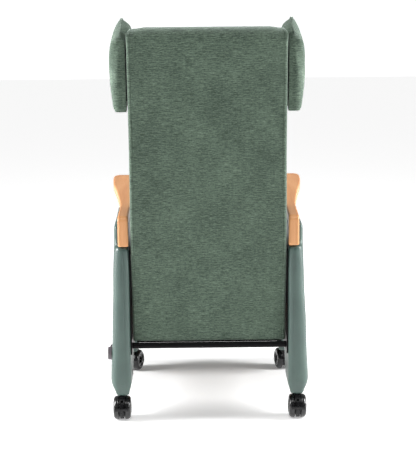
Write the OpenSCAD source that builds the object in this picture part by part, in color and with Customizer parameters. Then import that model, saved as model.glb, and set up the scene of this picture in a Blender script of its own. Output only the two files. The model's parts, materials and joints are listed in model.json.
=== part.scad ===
// Patient recliner chair on four twin-wheel casters.
// The chair faces -Y, +Z is up, and the origin is on the floor under the middle of the chair.
// Angles are in degrees and lengths in millimetres.

/* [Side panels] */
// Inner face of each side panel, from the middle plane
panel_in = 233; // [228:1:240]
// Outer face of each side panel at the arm
panel_out = 277; // [274:1:284]
// Outer face of each side panel at the foot
foot_out = 291; // [288:1:298]
// Rear edge of the side panels
panel_back = 281; // [276:1:286]
// Front edge of the side panels
panel_front = -343; // [-350:1:-338]
// Height of the feet above the floor
foot_z = 80; // [78:1:84]
// Height of the arch between the front and rear feet
arch_z = 190; // [170:1:195]

/* [Arms] */
// Height of the arm's top at its front end
arm_top = 680; // [670:1:690]
// Slope of the arm down towards the back
arm_slope = 5.8; // [5:0.2:6.6]
// Thickness of the arm
arm_t = 30; // [26:1:34]
// Radius of the bend at the rear of the arm
arm_bend = 40; // [37:1:50]
// Lower end of the arm behind the bend
arm_end_z = 534; // [520:1:545]
// Outer edge of the arm's wide front part
arm_flare = 310; // [304:1:314]

/* [Seat] */
// Height of the seat cushion's top
seat_top = 470; // [450:1:480]
// Thickness of the seat cushion
seat_t = 120; // [110:1:124]
// Front of the seat cushion
seat_front = -365; // [-370:1:-360]

/* [Back] */
// Width of the back
back_w = 450; // [440:1:452]
// Lean of the back at rest
lean = 8; // [6:0.5:9]
// Length of the back from its lower edge to its top
back_len = 926; // [900:1:930]
// Length of the wings
wing_len = 252; // [240:1:258]
// Thickness of the wings
wing_t = 48; // [44:1:52]
// Angle that the back reclines through
recline = 45; // [30:1:45]

/* [Legrest] */
// Length of the legrest pad
legrest_len = 228; // [200:1:236]
// Thickness of the legrest pad with its board
legrest_t = 54; // [48:1:58]

/* [Casters] */
// Diameter of the caster wheels
wheel_d = 72; // [69:1:73]
// Width over both wheels of a caster
caster_w = 52; // [50:1:54]
// Distance of the wheel axle behind the swivel axis
trail = 22; // [18:1:24]
// Distance from the middle plane to the swivel axes
caster_x = 263; // [262:0.5:264]
// Swivel axis of the rear casters
caster_rear_y = 214; // [210:1:218]
// Swivel axis of the front casters
caster_front_y = -280; // [-284:1:-276]

/* [Hidden] */
$fn = 48;
eps = 0.01;

// Clearance between pieces that only meet
gap = 0.3;
// Radial play of a pin or shaft that turns in its hole
play = 0.05;

// Colours
vinyl = [0.36, 0.43, 0.41];
tweed = [0.30, 0.34, 0.29];
beech = [0.80, 0.63, 0.47];
black_steel = [0.06, 0.06, 0.07];
black_plastic = [0.08, 0.08, 0.09];
zinc = [0.66, 0.67, 0.69];
plywood = [0.76, 0.62, 0.44];

// Square tube of the frames
tube = 25;
tube_wall = 1.5;
frame_x = caster_x;
frame_in = frame_x - tube / 2;

// Arm: the straight part runs forward from the top of the bend
arm_in = panel_in;
arm_rear_out = 264;
arm_front = -293;
arm_waist_y = 130;
bend_y = panel_back - arm_bend;
bend_z = arm_top - tan(arm_slope) * (bend_y + sin(arm_slope) * arm_bend - arm_front) - cos(arm_slope) * arm_bend;

// Seat
seat_rear = 126;
seat_bottom = seat_top - seat_t;
deck_t = 12;
deck_z = seat_bottom - deck_t;
deck_rear = 118;
rail_z = deck_z - tube / 2;
rail_front_y = -300;
rail_mid_y = -120;
rail_rear_y = 60;

// Crossbars between the side frames
crossbar_r = 9;
crossbar_z = 228.5;
crossbar_rear_y = 242;

// Recline pivot
pivot_y = 205;
pivot_z = 396;
pin_r = 6;
bush_r = 8;
ear_t = 6;
plate_t = 4;

// Back: u runs up the back from its lower rear edge, w runs rearwards from its rear face
back_y = 241;
back_z = 240;
shell_t = 16;
cushion_w = -140;
cushion_u = 192;
upright_x = back_w / 2 - 21;
frame_w = -shell_t - tube / 2;
pivot_u = (pivot_y - back_y) * sin(lean) + (pivot_z - back_z) * cos(lean);
pivot_w = (pivot_y - back_y) * cos(lean) - (pivot_z - back_z) * sin(lean);

// Wings
wing_u = 690;
wing_w = -188;

// Gas spring: the rod's eye is on the seat frame, the cylinder's eye is on the back's lug
spring_pin_r = 4;
lug_u = 61;
lug_w = -43;
lug_tube_u = 3.5;
lug_y = back_y + lug_u * sin(lean) + lug_w * cos(lean);
lug_z = back_z + lug_u * cos(lean) - lug_w * sin(lean);
spring_y = -84;
spring_z = 246;
// The eye stands off the lug's pin a little at rest, so that it stays clear of it over the whole travel
spring_angle = atan2(lug_z - spring_z, lug_y - spring_y) - 0.7;
spring_len = norm([lug_y - spring_y, lug_z - spring_z]) - 2.6;
spring_slack = 4.9;
eye_r = spring_pin_r + spring_slack + 3;

// Release knob on the left panel
knob_y = 244;
knob_z = 207;
knob_r = 19;
knob_t = 11;
spindle_r = 4;
panel_out_at_knob = foot_out - (foot_out - panel_out) * (knob_z - knob_r - 160) / 360;

// Legrest
legrest_y = -352;
legrest_z = 344;
legrest_arm_x = 196;
legrest_top = legrest_z - 16;
legrest_face = legrest_y - 22;

// Casters
axle_z = wheel_d / 2;
axle_r = 3;
stem_r = 5;
hood_top = 74;
pedal_y = 27;
pedal_z = 19;
pedal_pin_r = 2.4;
pedal_arm = 4;
web_t = 16;

module at_back() {
    translate([0, back_y, back_z]) rotate([-lean, 0, 0]) children();
}

module both_sides() {
    children();
    mirror([1, 0, 0]) children();
}

// Extrudes a drawing with axes (Y, Z) along X from x0 to x1
module across(x0, x1) {
    translate([x0, 0, 0]) rotate([90, 0, 90]) linear_extrude(x1 - x0) children();
}

// Points of an arc, from one angle to another
function arc(centre, r, from, to, steps = 10) = [
    for (i = [0 : steps])
        let (a = from + (to - from) * i / steps) centre + r * [cos(a), sin(a)]
];

// Rounded rectangle
module soft_rect(x0, y0, x1, y1, r) {
    polygon(concat(
        arc([x1 - r, y0 + r], r, -90, 0),
        arc([x1 - r, y1 - r], r, 0, 90),
        arc([x0 + r, y1 - r], r, 90, 180),
        arc([x0 + r, y0 + r], r, 180, 270)
    ));
}

module bar(size, centre) {
    translate(centre) cube(size, center = true);
}

// Square tube along X, Y or Z, open at both ends
module square_tube(centre, length, axis) {
    turn = axis == "x" ? [0, 90, 0] : axis == "y" ? [90, 0, 0] : [0, 0, 0];
    translate(centre) rotate(turn) difference() {
        cube([tube, tube, length], center = true);
        cube([tube - 2 * tube_wall, tube - 2 * tube_wall, length + 2], center = true);
    }
}

module rod_x(x0, x1, y, z, r) {
    translate([x0, y, z]) rotate([0, 90, 0]) cylinder(h = x1 - x0, r = r);
}

// ---- Side frames and panels

leg_rear_top = 560;
leg_front_top = 600;
low_rail_z = arch_z + 25;
top_rail_z = 545;
leg_bottom = foot_z;

module side_frame_bars(grow) {
    leg_len = leg_rear_top - leg_bottom;
    front_len = leg_front_top - leg_bottom;
    mid = (caster_rear_y + caster_front_y) / 2;
    span = caster_rear_y - caster_front_y - tube;
    bar([tube + grow, tube + grow, leg_len + grow], [frame_x, caster_rear_y, leg_bottom + leg_len / 2]);
    bar([tube + grow, tube + grow, front_len + grow], [frame_x, caster_front_y, leg_bottom + front_len / 2]);
    bar([tube + grow, span + grow, tube + grow], [frame_x, mid, low_rail_z]);
    bar([tube + grow, span + grow, tube + grow], [frame_x, mid, top_rail_z]);
    bar([tube + grow, span + grow, tube + grow], [frame_x, mid, rail_z]);
}

module side_frame() {
    leg_len = leg_rear_top - leg_bottom;
    front_len = leg_front_top - leg_bottom;
    mid = (caster_rear_y + caster_front_y) / 2;
    span = caster_rear_y - caster_front_y - tube;
    color(black_steel) difference() {
        union() {
            square_tube([frame_x, caster_rear_y, leg_bottom + leg_len / 2], leg_len, "z");
            square_tube([frame_x, caster_front_y, leg_bottom + front_len / 2], front_len, "z");
            for (z = [low_rail_z, top_rail_z, rail_z])
                square_tube([frame_x, mid, z], span, "y");
            // Boss that carries the recline pivot's pin, welded to the rear leg
            rod_x(frame_in - eps, frame_x + tube / 2, pivot_y, pivot_z, 11);
        }
        rod_x(frame_in - 1, frame_x + tube, pivot_y, pivot_z, pin_r);
    }
}

// Outline of a side panel, seen from the side
module panel_side() {
    inner_r = arm_bend - arm_t - 1;
    arch_front = panel_front + 176;
    arch_rear = 96;
    polygon(concat(
        [
            [panel_front + 14, foot_z], [panel_front + 118, foot_z], [arch_front, arch_z],
            [arch_rear, arch_z], [152, foot_z + 14], [162, foot_z], [panel_back - 14, foot_z],
            [panel_back, foot_z + 40], [panel_back, arm_end_z - 1], [panel_back - arm_t - 1, arm_end_z - 1]
        ],
        arc([bend_y, bend_z], inner_r, 0, 90 - arm_slope),
        [
            [arm_front + 4, arm_top - arm_t - 2], [panel_front, arm_top - arm_t - 31],
            [panel_front, foot_z + 40]
        ]
    ));
}

// Outline of a side panel, seen from the front
module panel_front_view() {
    polygon([
        [panel_in, 700], [panel_in, foot_z + 60], [panel_in + 3, foot_z + 44], [panel_in + 9, foot_z + 14],
        [panel_in + 12, foot_z], [foot_out - 12, foot_z], [foot_out - 8, foot_z + 14],
        [foot_out - 1, foot_z + 44], [foot_out, 160], [panel_out, 520], [panel_out, 700]
    ]);
}

module side_panel(left) {
    color(vinyl) difference() {
        intersection() {
            across(0, 400) panel_side();
            translate([0, 400, 0]) rotate([90, 0, 0]) linear_extrude(800) panel_front_view();
        }
        side_frame_bars(0.2);
        rod_x(panel_in - 1, frame_in, pivot_y, pivot_z, 11 + gap);
        rod_x(frame_in - 1, frame_x + tube / 2 + 0.1, pivot_y, pivot_z, 11 + gap);
        for (at = plate_screws_at)
            rod_x(panel_in - 1, frame_in, at[0], at[1], plate_screw_r + 0.1);
        for (y = [rail_front_y, rail_rear_y])
            bar([40, tube + 2 * gap, tube + 2 * gap], [panel_in + 10, y, rail_z]);
        rod_x(panel_in - 1, frame_in, caster_front_y, crossbar_z, crossbar_r + gap);
        // Ways for the arm's screws, up through the top rail's padding
        for (y = arm_screw_ys)
            translate([arm_screw_x, y, top_rail_z]) cylinder(h = 140, r = 5);
        if (left) {
            rod_x(panel_in - 1, foot_out + 10, knob_y, knob_z, spindle_r + 1);
            rod_x(panel_in - 1, panel_in + 12, knob_y, knob_z, 15);
            bar([12, knob_y - cable_out_y + 14, 16], [panel_in + 5, (knob_y + cable_out_y) / 2, knob_z]);
        }
    }
}

// ---- Arms

arm_screw_x = 250;
arm_screw_ys = [-210, 20];

function arm_top_at(y) = arm_top - tan(arm_slope) * (y - arm_front);

// Side view of the arm: a sloping bar, the bend and the rear leg
module arm_side() {
    centre = [bend_y, bend_z];
    polygon(concat(
        [[panel_back - arm_t, arm_end_z], [panel_back, arm_end_z]],
        arc(centre, arm_bend, 0, 90 - arm_slope, 16),
        [[arm_front, arm_top], [arm_front, arm_top - arm_t]],
        arc(centre, arm_bend - arm_t, 90 - arm_slope, 0, 12)
    ));
}

// Plan of the arm: narrow at the rear, flaring to a wide, round front
module arm_plan() {
    r = 26;
    polygon(concat(
        [
            [arm_in, panel_back + 1], [arm_rear_out, panel_back + 1], [arm_rear_out, arm_waist_y],
            [arm_rear_out + 5, 80], [arm_rear_out + 12, 25], [arm_rear_out + 24, -65],
            [arm_flare - 12, -125], [arm_flare - 5, -172], [arm_flare, -230]
        ],
        arc([arm_flare - r, arm_front + r], r, 0, -90),
        arc([arm_in + r, arm_front + r], r, -90, -180)
    ));
}

module arm() {
    color(beech) difference() {
        intersection() {
            across(0, 400) arm_side();
            translate([0, 0, 400]) linear_extrude(400) arm_plan();
        }
        for (y = arm_screw_ys)
            translate([arm_screw_x, y, arm_top_at(y) - arm_t - 20]) cylinder(h = arm_t + 10, r = 3);
    }
}

module arm_screws() {
    head_z = top_rail_z + tube / 2 + 0.4;
    color(zinc) both_sides() for (y = arm_screw_ys) {
        translate([arm_screw_x, y, head_z]) cylinder(h = 4, r = 4.5);
        translate([arm_screw_x, y, head_z]) cylinder(h = arm_top_at(y) - 11 - head_z, r = 2.9);
    }
}

// ---- Crossbars and seat

module crossbar(y, half) {
    color(black_steel) difference() {
        rod_x(-half, half, y, crossbar_z, crossbar_r);
        rod_x(-half - 1, half + 1, y, crossbar_z, crossbar_r - tube_wall);
    }
}

legrest_lug_x = legrest_arm_x + 12;

// Seat frame: three cross tubes joined by two long tubes, with the legrest's hinge lugs at the front
module seat_frame() {
    long_x = 150;
    color(black_steel) difference() {
        union() {
            for (y = [rail_front_y, rail_rear_y])
                square_tube([0, y, rail_z], 2 * frame_in, "x");
            square_tube([0, rail_mid_y, rail_z], 2 * long_x - tube, "x");
            both_sides() square_tube([long_x, (rail_front_y + rail_rear_y) / 2, rail_z],
                                     rail_rear_y - rail_front_y - tube, "y");
            both_sides() across(legrest_lug_x, legrest_lug_x + 5) {
                polygon([
                    [rail_front_y - 12, rail_z - 12.5], [rail_front_y - 12.4, rail_z + 12.5],
                    [legrest_y, legrest_z + 4.5], [legrest_y, legrest_z - 11]
                ]);
                translate([legrest_y, legrest_z - 6.5]) circle(11);
            }
        }
        rod_x(-300, 300, legrest_y, legrest_z - 6.5, 4 + play);
    }
}

module seat_deck() {
    color(plywood) difference() {
        translate([-222, rail_front_y - 12, deck_z + 0.1]) cube([444, deck_rear - rail_front_y + 12, deck_t - 0.2]);
        // Room for the gas spring's eye when the back is down
        translate([-28, deck_rear - 30, deck_z - 1]) cube([56, 40, deck_t + 2]);
        for (x = [-120, -60, 0, 60, 120])
            for (y = [-240, -180, -60, 0])
                translate([x, y, deck_z - 1]) cylinder(h = deck_t + 2, r = 10);
        deck_screw_places() translate([0, 0, -1]) cylinder(h = 40, r = 3, center = true);
    }
}

module deck_screw_places() {
    for (x = [-195, 0, 195])
        for (y = [rail_front_y, rail_rear_y])
            translate([x, y, deck_z]) children();
}

module seat_deck_screws() {
    color(zinc) deck_screw_places() {
        translate([0, 0, gap]) cylinder(h = deck_t - gap - 0.2, r = 2.8);
    }
}

module seat_cushion() {
    color(tweed) across(-230, 230) polygon(concat(
        [[seat_rear, seat_bottom], [seat_rear, seat_top]],
        arc([seat_front + 28, seat_top - 28], 28, 90, 180),
        arc([seat_front + 12, seat_bottom + 12], 12, 180, 270)
    ));
}

// ---- Recline pivot

plate_screws_at = [[216, 257], [216, 283], [146, 244], [146, 490], [240, 490]];
plate_screw_r = 2.5;

// Steel plates on the panels' inner faces, which carry the pivot and the rear crossbar
module pivot_plates() {
    color(black_steel) both_sides() difference() {
        across(panel_in - plate_t, panel_in) soft_rect(seat_rear + 5, 204, 268, 520, 12);
        rod_x(panel_in - 10, panel_in + 10, pivot_y, pivot_z, pin_r + 0.1);
        rod_x(panel_in - 10, panel_in + 10, crossbar_rear_y, crossbar_z, crossbar_r + 0.05);
        for (at = plate_screws_at)
            rod_x(panel_in - 10, panel_in + 10, at[0], at[1], plate_screw_r + 0.1);
    }
}

module plate_screws() {
    color(zinc) both_sides() for (at = plate_screws_at) {
        rod_x(panel_in - plate_t - 1, frame_in - 0.5, at[0], at[1], plate_screw_r);
        rod_x(panel_in - plate_t - 2, panel_in - plate_t - 0.1, at[0], at[1], 5);
    }
}

module pivot_pins() {
    color(zinc) both_sides() {
        rod_x(back_w / 2 - 16, frame_x + tube / 2, pivot_y, pivot_z, pin_r - play);
        rod_x(back_w / 2 - 21, back_w / 2 - 16, pivot_y, pivot_z, 10);
    }
}

module pivot_bushes() {
    color(black_plastic) both_sides() difference() {
        union() {
            rod_x(back_w / 2 - 10, back_w / 2 - 4 + 1.5, pivot_y, pivot_z, bush_r);
            rod_x(back_w / 2 - 4, back_w / 2 - 4 + 1.5, pivot_y, pivot_z, 12);
        }
        rod_x(0, 300, pivot_y, pivot_z, pin_r);
    }
}

// ---- Back

module back_frame() {
    top_u = back_len - 60;
    low_u = lug_tube_u - tube / 2;
    color(black_steel) difference() {
        union() {
            at_back() {
                both_sides() square_tube([upright_x, frame_w, (top_u + low_u) / 2], top_u - low_u, "z");
                for (u = [lug_tube_u, 330, 600, top_u - tube / 2])
                    square_tube([0, frame_w, u], 2 * upright_x - tube, "x");
                // Hinge ears, welded to the outer side of the uprights
                both_sides() across(back_w / 2 - 10, back_w / 2 - 4) {
                    translate([pivot_w, pivot_u]) circle(16);
                    polygon([
                        [pivot_w, pivot_u - 16], [pivot_w, pivot_u + 16],
                        [frame_w + 12, pivot_u + 34], [frame_w + 12, pivot_u - 34]
                    ]);
                }
                // Lugs for the gas spring's cylinder
                for (x = [-16, 11])
                    across(x, x + 5) {
                        translate([lug_w, lug_u]) circle(9);
                        polygon([
                            [lug_w - 8.5, lug_u - 3], [lug_w + 9, lug_u], [frame_w + 8, lug_tube_u + 12],
                            [frame_w - 12, lug_tube_u + 12]
                        ]);
                    }
                // Pin across the lugs, through the gas spring's eye
                rod_x(-12, 12, lug_w, lug_u, spring_pin_r);
            }
        }
        rod_x(-300, 300, pivot_y, pivot_z, bush_r);
    }
}

module back_shell() {
    r = 12;
    color(tweed) at_back() across(-back_w / 2, back_w / 2) polygon(concat(
        [[-shell_t, 0], [0, 0]],
        arc([-r, back_len - r], r, 0, 90),
        [[-shell_t, back_len]]
    ));
}

module back_cushion() {
    r = 26;
    rear = -shell_t - tube - gap;
    over_frame = -shell_t - gap;
    color(tweed) at_back() across(-222, 222) polygon(concat(
        [[rear, cushion_u], [rear, back_len - 58], [over_frame, back_len - 58], [over_frame, back_len - 1]],
        arc([cushion_w + r, back_len - r - 1], r, 90, 180),
        arc([cushion_w + r, cushion_u + r], r, 180, 270)
    ));
}

// Ear-shaped outline of a wing, in the back's own side view
module wing_side() {
    top_r = 46;
    low_rear_r = 22;
    low_front_r = 60;
    rear = -10;
    top = wing_u + wing_len;
    polygon(concat(
        arc([rear - low_rear_r, wing_u + low_rear_r], low_rear_r, -90, 0),
        arc([rear - top_r, top - top_r], top_r, 0, 90),
        arc([wing_w + top_r, top - top_r], top_r, 90, 180),
        arc([wing_w + low_front_r, wing_u + low_front_r], low_front_r, 180, 270)
    ));
}

module wing() {
    color(tweed) at_back() across(back_w / 2 + plate_t + 0.2, back_w / 2 + plate_t + wing_t - 4) wing_side();
}

wing_screw_us = [wing_u + 60, wing_u + 150];

module wing_plates() {
    color(black_steel) at_back() both_sides() difference() {
        across(back_w / 2 + 0.1, back_w / 2 + plate_t) soft_rect(-80, wing_u + 30, -18, wing_u + 190, 8);
        for (u = wing_screw_us) rod_x(0, 300, frame_w, u, 3.1);
    }
}

module wing_screws() {
    color(zinc) at_back() both_sides() for (u = wing_screw_us) {
        rod_x(upright_x + tube / 2 + 0.1, back_w / 2 + plate_t - 0.1, frame_w, u, 3);
    }
}

// ---- Gas spring and its release

module at_spring() {
    translate([0, spring_y, spring_z]) rotate([spring_angle, 0, 0]) children();
}

rod_len = 150;
cylinder_start = 104;

module gas_spring_bracket() {
    color(black_steel) difference() {
        for (x = [-14, 10])
            across(x, x + 4) {
                translate([spring_y, spring_z]) circle(10);
                polygon([
                    [spring_y - 9, spring_z - 4], [spring_y + 10, spring_z],
                    [rail_mid_y + 36, rail_z - 4], [rail_mid_y + 36, rail_z + 12],
                    [rail_mid_y + 12.6, rail_z + 12], [rail_mid_y + 12.6, rail_z - 20]
                ]);
            }
        rod_x(-30, 30, spring_y, spring_z, spring_pin_r);
    }
}

module gas_spring_rod() {
    color(zinc) at_spring() difference() {
        union() {
            rod_x(-8, 8, 0, 0, 9);
            rotate([-90, 0, 0]) cylinder(h = rod_len, r = 5);
        }
        rod_x(-20, 20, 0, 0, spring_pin_r + play);
    }
}

// The cylinder's eye is tall enough for the pin to keep clear of it over the whole travel
module gas_spring_cylinder() {
    color(black_steel) at_spring() difference() {
        union() {
            translate([0, cylinder_start, 0]) rotate([-90, 0, 0])
                cylinder(h = spring_len - cylinder_start - 52, r = 10);
            // Slim neck, which clears the back's lower tube when the back is down
            translate([0, spring_len - 53, 0]) rotate([-90, 0, 0]) cylinder(h = 53 - eye_r + 1, r = 5);
            rod_x(-8, 8, spring_len, 0, eye_r);
        }
        translate([0, cylinder_start - 1, 0]) rotate([-90, 0, 0]) cylinder(h = 112, r = 5 + play);
        rod_x(-20, 20, spring_len, 0, spring_pin_r + spring_slack);
    }
}

module gas_spring_pins() {
    color(zinc) {
        rod_x(-17, 17, spring_y, spring_z, spring_pin_r - play);
        for (x = [-19, 17])
            rod_x(x, x + 2, spring_y, spring_z, 6);
    }
}

module release_knob() {
    out = panel_out_at_knob + gap;
    color(black_plastic) difference() {
        union() {
            rod_x(out, out + knob_t, knob_y, knob_z, knob_r);
            // Finger lever that points forward
            across(out + 1.5, out + knob_t - 2) {
                translate([knob_y - 66, knob_z - 6]) square([60, 12]);
                translate([knob_y - 66, knob_z]) circle(9);
            }
        }
        rod_x(out - 1, out + knob_t - 3, knob_y, knob_z, spindle_r);
    }
}

cable_out_y = 64;
crank_x = panel_in + 2;

module release_spindle() {
    color(zinc) {
        rod_x(crank_x, panel_out_at_knob + gap + knob_t - 3, knob_y, knob_z, spindle_r);
        rod_x(crank_x, crank_x + 4, knob_y, knob_z, 8);
    }
}

// Route of the release cable, from the spindle's crank along the panel's inside,
// across under the seat and forward to the gas spring's valve
cable_d = 5;
cable_route = [
    [240, 234, 208], [240, 160, 208], [239, 100, 208], [236, 74, 210], [222, 40, 222], [190, 22, 250],
    [150, 12, 284], [110, 4, 290], [70, -20, 282], [40, -40, 264], [24, -52, 250], [20.3, -63, 246]
];

function unit(v) = v / norm(v);
function cross3(a, b) = [a[1] * b[2] - a[2] * b[1], a[2] * b[0] - a[0] * b[2], a[0] * b[1] - a[1] * b[0]];
function tangent(p, i) = unit(p[min(i + 1, len(p) - 1)] - p[max(i - 1, 0)]);
function side_of(t) = unit(cross3(t, [0.1, 0.2, 1]));
function ring(p, t, r, n) = [
    for (k = [0 : n - 1])
        let (a = 360 * k / n, s = side_of(t), q = cross3(t, s)) p + r * (cos(a) * s + sin(a) * q)
];

module swept_tube(path, r, n) {
    last = len(path) - 1;
    points = [for (i = [0 : last]) each ring(path[i], tangent(path, i), r, n)];
    sides = [
        for (i = [0 : last - 1])
            for (k = [0 : n - 1])
                let (a = i * n + k, b = i * n + (k + 1) % n) [a, b, b + n, a + n]
    ];
    start_cap = [for (k = [n - 1 : -1 : 0]) k];
    end_cap = [for (k = [0 : n - 1]) last * n + k];
    polyhedron(points, concat([start_cap], sides, [end_cap]), convexity = 4);
}

module release_cable() {
    color(black_plastic) swept_tube(cable_route, cable_d / 2, 10);
}

// Lever on the bracket's side that presses the gas spring's valve
module valve_lever() {
    color(zinc) difference() {
        across(19.3, 21.3) {
            translate([spring_y, spring_z]) circle(8);
            translate([spring_y, spring_z - 5]) square([18, 10]);
        }
        rod_x(15, 25, spring_y, spring_z, 3);
    }
}

// ---- Legrest

module legrest_frame() {
    rear = legrest_face + legrest_t;
    color(black_steel) difference() {
        union() {
            both_sides() across(legrest_arm_x, legrest_arm_x + 6) {
                translate([legrest_y, legrest_z - 6.5]) circle(11);
                polygon([
                    [legrest_y - 11, legrest_z - 8], [legrest_y + 11, legrest_z - 6],
                    [rear + 18, legrest_top - 26], [rear + 18, legrest_top - legrest_len + 50],
                    [rear + 0.2, legrest_top - legrest_len + 40], [rear + 0.2, legrest_top - 26]
                ]);
            }
            for (z = [legrest_top - 60, legrest_top - legrest_len + 60])
                rod_x(-legrest_arm_x, legrest_arm_x, rear + 9.4, z, 8);
        }
        rod_x(-300, 300, legrest_y, legrest_z - 6.5, 4);
    }
}

module legrest_board() {
    color(plywood) translate([-205, legrest_face + legrest_t - deck_t, legrest_top - legrest_len + 6])
        cube([410, deck_t, legrest_len - 40]);
}

module legrest_cushion() {
    color(tweed) difference() {
        across(-222, 222)
            soft_rect(legrest_face, legrest_top - legrest_len, legrest_face + legrest_t - 1, legrest_top - 22, 18);
        translate([-205.2, legrest_face + legrest_t - deck_t - 0.2, legrest_top - legrest_len + 5.8])
            cube([410.4, deck_t + 5, legrest_len - 39.6]);
    }
}

module legrest_pins() {
    color(zinc) both_sides() {
        rod_x(legrest_arm_x - 6, legrest_lug_x + 5.2, legrest_y, legrest_z - 6.5, 4 - play);
        rod_x(legrest_lug_x + 5.2, legrest_lug_x + 8, legrest_y, legrest_z - 6.5, 7);
        rod_x(legrest_arm_x - 9, legrest_arm_x - 6, legrest_y, legrest_z - 6.5, 7);
    }
}

module legrest_friction_discs() {
    color(black_plastic) both_sides() difference() {
        rod_x(legrest_arm_x + 6.2, legrest_lug_x - 0.2, legrest_y, legrest_z - 6.5, 10);
        rod_x(0, 300, legrest_y, legrest_z - 6.5, 4.2);
    }
}

// ---- Casters

// Swivel axis and resting turn of each caster
casters = [
    [caster_x, caster_rear_y, 0], [-caster_x, caster_rear_y, 0],
    [caster_x, caster_front_y, 160], [-caster_x, caster_front_y, 190]
];

// At zero turn the wheels trail towards +Y and the axle lies along X
module at_caster(i) {
    translate([casters[i][0], casters[i][1], 0]) rotate([0, 0, casters[i][2]]) children();
}

module caster_sockets() {
    color(black_plastic) for (i = [0 : 3]) translate([casters[i][0], casters[i][1], 0]) difference() {
        union() {
            translate([0, 0, leg_bottom - 2]) cylinder(h = 2, r = 15);
            translate([0, 0, leg_bottom]) cylinder(h = 40, r = 10.9);
        }
        translate([0, 0, 0]) cylinder(h = 118, r = stem_r + play);
    }
}

module caster_stem(i) {
    color(zinc) at_caster(i) {
        translate([0, 0, 52]) cylinder(h = 62, r = stem_r);
        translate([0, 0, hood_top]) cylinder(h = 3, r = 11);
    }
}

module caster_axle(i) {
    color(zinc) at_caster(i) rod_x(-caster_w / 2 + 5, caster_w / 2 - 5, trail, axle_z, axle_r);
}

// Part of a ring about the wheel axle, seen from the side
module axle_sector(r0, r1, a0, a1) {
    centre = [trail, axle_z];
    polygon(concat(arc(centre, r1, a0, a1), arc(centre, r0, a1, a0)));
}

// Hood: a web between the wheels with a ribbed rim, and a boss for the stem
module caster_hood(i) {
    rim_r = wheel_d / 2 + 2;
    color(black_plastic) at_caster(i) difference() {
        union() {
            rod_x(-web_t / 2, web_t / 2, trail, axle_z, 28);
            across(-web_t / 2, web_t / 2) axle_sector(20, rim_r, 2, 178);
            for (a = [54 : 12 : 102])
                rod_x(-web_t / 2, web_t / 2, trail + rim_r * cos(a), axle_z + rim_r * sin(a), 1.5);
            difference() {
                translate([0, 0, 50]) cylinder(h = hood_top - 50, r = 12.5);
                rod_x(-14, -web_t / 2, trail, axle_z, wheel_d / 2 + 1.5);
                rod_x(web_t / 2, 14, trail, axle_z, wheel_d / 2 + 1.5);
            }
        }
        rod_x(-30, 30, trail, axle_z, axle_r);
        translate([0, 0, 40]) cylinder(h = 60, r = stem_r);
        translate([0, 0, hood_top - 0.1]) cylinder(h = 10, r = 14);
        // Only the rear casters carry a pedal: its pin and the slot it swings in
        if (i < 2) {
            rod_x(-30, 30, trail + pedal_y, axle_z + pedal_z, pedal_pin_r + play);
            across(-pedal_arm - gap, pedal_arm + gap) axle_sector(28.2, rim_r + 4, -4, 48);
        }
    }
}

// One wheel: a tread with a rounded outer shoulder, a recessed web and a hub
module caster_wheel(i, side) {
    half = caster_w / 2;
    inner = web_t / 2 + 0.6;
    r = wheel_d / 2;
    color(black_plastic) at_caster(i) translate([0, trail, axle_z]) rotate([0, 90 * side, 0]) rotate_extrude()
        difference() {
            union() {
                translate([axle_r + play, inner]) square([r - 9 - axle_r - play, half - inner - 3]);
                translate([r - 10, inner]) square([10, half - inner - 9]);
                translate([r - 9, half - 9]) circle(9);
            }
            translate([10, half - 5]) square([14, 10]);
        }
}

// Brake pedal: an arm in the hood's slot, with a bar behind both wheels and a toe between them
module caster_pedal(i) {
    color(black_plastic) at_caster(i) {
        rod_x(-web_t / 2, web_t / 2, trail + pedal_y, axle_z + pedal_z, pedal_pin_r);
        across(-pedal_arm, pedal_arm) {
            translate([trail + pedal_y, axle_z + pedal_z]) circle(4.2);
            axle_sector(30, 41, -34, 33);
        }
        across(-21, 21) axle_sector(wheel_d / 2 + 2.4, wheel_d / 2 + 6, 0, 12);
    }
}

side_panel(true);  // side_panel_left
mirror([1, 0, 0]) side_panel(false);  // side_panel_right
side_frame();  // side_frame_left
mirror([1, 0, 0]) side_frame();  // side_frame_right
arm();  // arm_left
mirror([1, 0, 0]) arm();  // arm_right
arm_screws();
crossbar(crossbar_rear_y, panel_in);  // rear_crossbar
crossbar(caster_front_y, frame_in);  // front_crossbar
seat_frame();
seat_deck();
seat_deck_screws();
seat_cushion();
pivot_plates();
plate_screws();
pivot_pins();
pivot_bushes();
back_frame();
back_shell();
back_cushion();
wing();  // wing_left
mirror([1, 0, 0]) wing();  // wing_right
wing_plates();
wing_screws();
gas_spring_bracket();
gas_spring_rod();
gas_spring_cylinder();
gas_spring_pins();
release_knob();
release_spindle();
release_cable();
valve_lever();
legrest_frame();
legrest_board();
legrest_cushion();
legrest_pins();
legrest_friction_discs();
caster_sockets();
caster_stem(0);  // caster_rear_left_stem
caster_hood(0);  // caster_rear_left_hood
caster_axle(0);  // caster_rear_left_axle
caster_wheel(0, 1);  // caster_rear_left_wheel_outer
caster_wheel(0, -1);  // caster_rear_left_wheel_inner
caster_pedal(0);  // caster_rear_left_pedal
caster_stem(1);  // caster_rear_right_stem
caster_hood(1);  // caster_rear_right_hood
caster_axle(1);  // caster_rear_right_axle
caster_wheel(1, -1);  // caster_rear_right_wheel_outer
caster_wheel(1, 1);  // caster_rear_right_wheel_inner
caster_pedal(1);  // caster_rear_right_pedal
caster_stem(2);  // caster_front_left_stem
caster_hood(2);  // caster_front_left_hood
caster_axle(2);  // caster_front_left_axle
caster_wheel(2, 1);  // caster_front_left_wheel_outer
caster_wheel(2, -1);  // caster_front_left_wheel_inner
caster_stem(3);  // caster_front_right_stem
caster_hood(3);  // caster_front_right_hood
caster_axle(3);  // caster_front_right_axle
caster_wheel(3, -1);  // caster_front_right_wheel_outer
caster_wheel(3, 1);  // caster_front_right_wheel_inner
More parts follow.
